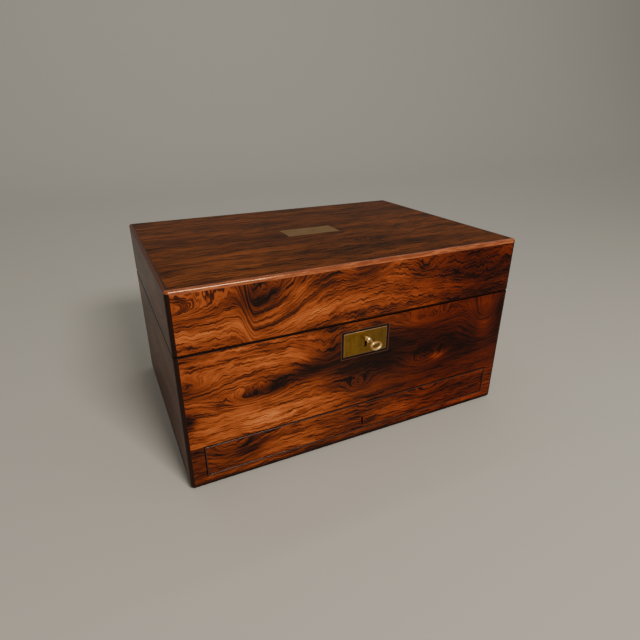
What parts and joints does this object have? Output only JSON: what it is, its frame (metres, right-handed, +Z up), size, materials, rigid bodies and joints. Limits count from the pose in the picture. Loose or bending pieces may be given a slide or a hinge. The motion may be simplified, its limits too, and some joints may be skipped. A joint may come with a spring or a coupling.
{
  "type": "fitted dressing box",
  "caption": "Rectangular rosewood dressing box with hinged lid, lock and key, fitted interior with lift-out tray and jars, and a locked jewellery drawer in its base.",
  "frame": {"origin": "centre of the underside, on the face of the baize", "axes": "+X to the right of someone facing the lock, +Y to the hinges, +Z up"},
  "size_m": [0.305, 0.2366, 0.166],
  "materials": {
    "rosewood": "figured rosewood veneer, french polished to a gloss",
    "mahogany": "plain mahogany, waxed",
    "ebony": "ebonised stringing, polished",
    "brass": "aged brass, brushed and rubbed",
    "key_brass": "pale worn brass",
    "steel": "plain turned pin",
    "silver_plate": "silver plate, polished, lightly worn",
    "velvet": "short silk velvet, deep claret",
    "baize": "dark green baize",
    "glass": "clear polished glass",
    "mirror": "silvered plate glass"
  },
  "bodies": {
    "case": {"case_front": "rosewood", "drawer_stiles": "rosewood", "case_left_side": "rosewood", "case_right_side": "rosewood", "case_back": "rosewood", "case_bottom": "rosewood", "case_edge_strings": "ebony", "well_floor": "mahogany", "drawer_guides": "mahogany", "base_baize": "baize", "lock_plate": "brass", "lock_plate_border": "ebony", "lock_case": "brass", "lock_screws": "brass", "case_hinge_leaves": "brass", "hinge_pins": "steel", "case_hinge_screws": "brass", "well_lining": "velvet", "well_partitions": "mahogany", "glass_jars": "glass", "glass_boxes": "glass"},
    "lid": {"lid_top": "rosewood", "lid_front": "rosewood", "lid_back": "rosewood", "lid_left_side": "rosewood", "lid_right_side": "rosewood", "lid_edge_strings": "ebony", "name_plate": "brass", "link_plate": "brass", "link_plate_screws": "brass", "lid_hinge_leaves": "brass", "lid_hinge_screws": "brass", "lid_lining": "velvet", "mirror_frame": "mahogany", "mirror_plate": "mirror"},
    "key": {"key": "key_brass"},
    "lock_bolt": {"lock_bolt": "brass"},
    "drawer": {"drawer_front": "rosewood", "drawer_bead": "rosewood", "drawer_left_side": "mahogany", "drawer_right_side": "mahogany", "drawer_back": "mahogany", "drawer_bottom": "mahogany", "drawer_lining": "velvet", "drawer_partitions": "mahogany", "ring_rolls": "velvet", "drawer_lock": "brass"},
    "drawer_bolt": {"drawer_lock_bolt": "brass"},
    "tray": {"tray_frame": "mahogany", "tray_bottom": "mahogany", "tray_partitions": "mahogany", "tray_pads": "velvet", "tray_knobs": "brass"},
    "jar_lid_1_body": {"jar_lid_1": "silver_plate"},
    "jar_lid_2_body": {"jar_lid_2": "silver_plate"},
    "jar_lid_3_body": {"jar_lid_3": "silver_plate"},
    "jar_lid_4_body": {"jar_lid_4": "silver_plate"},
    "glass_box_lid_left_body": {"glass_box_lid_left": "silver_plate"},
    "glass_box_lid_right_body": {"glass_box_lid_right": "silver_plate"}
  },
  "joints": [
    {"name": "lid_hinge", "type": "hinge", "parent": "case", "child": "lid", "pos_m": [0, 0.105, 0.11785], "axis": [-1, 0, 0], "range_deg": [0, 95]},
    {"name": "key_turn", "type": "hinge", "parent": "case", "child": "key", "pos_m": [0, -0.108, 0.101], "axis": [0, 1, 0], "range_deg": [-64, 116]},
    {"name": "lock_bolt_throw", "type": "slide", "parent": "case", "child": "lock_bolt", "axis": [1, 0, 0], "range_m": [-0.0016, 0.0029]},
    {"name": "drawer_slide", "type": "slide", "parent": "case", "child": "drawer", "axis": [0, -1, 0], "range_m": [0, 0.165]},
    {"name": "drawer_bolt_throw", "type": "slide", "parent": "drawer", "child": "drawer_bolt", "axis": [0, 0, 1], "range_m": [0, 0.0023]},
    {"name": "tray_lift", "type": "slide", "parent": "case", "child": "tray", "axis": [0, 0, 1], "range_m": [0, 0.026]},
    {"name": "jar_cap_1_lift", "type": "slide", "parent": "case", "child": "jar_lid_1_body", "axis": [0, 0, 1], "range_m": [0, 0.014]},
    {"name": "jar_cap_2_lift", "type": "slide", "parent": "case", "child": "jar_lid_2_body", "axis": [0, 0, 1], "range_m": [0, 0.014]},
    {"name": "jar_cap_3_lift", "type": "slide", "parent": "case", "child": "jar_lid_3_body", "axis": [0, 0, 1], "range_m": [0, 0.014]},
    {"name": "jar_cap_4_lift", "type": "slide", "parent": "case", "child": "jar_lid_4_body", "axis": [0, 0, 1], "range_m": [0, 0.014]},
    {"name": "glass_box_cap_left_lift", "type": "slide", "parent": "case", "child": "glass_box_lid_left_body", "axis": [0, 0, 1], "range_m": [0, 0.014]},
    {"name": "glass_box_cap_right_lift", "type": "slide", "parent": "case", "child": "glass_box_lid_right_body", "axis": [0, 0, 1], "range_m": [0, 0.014]}
  ],
  "couplings": [
    {"joint": "key_turn", "follows": "lock_bolt_throw", "rad_per_m": 698.13}
  ]
}
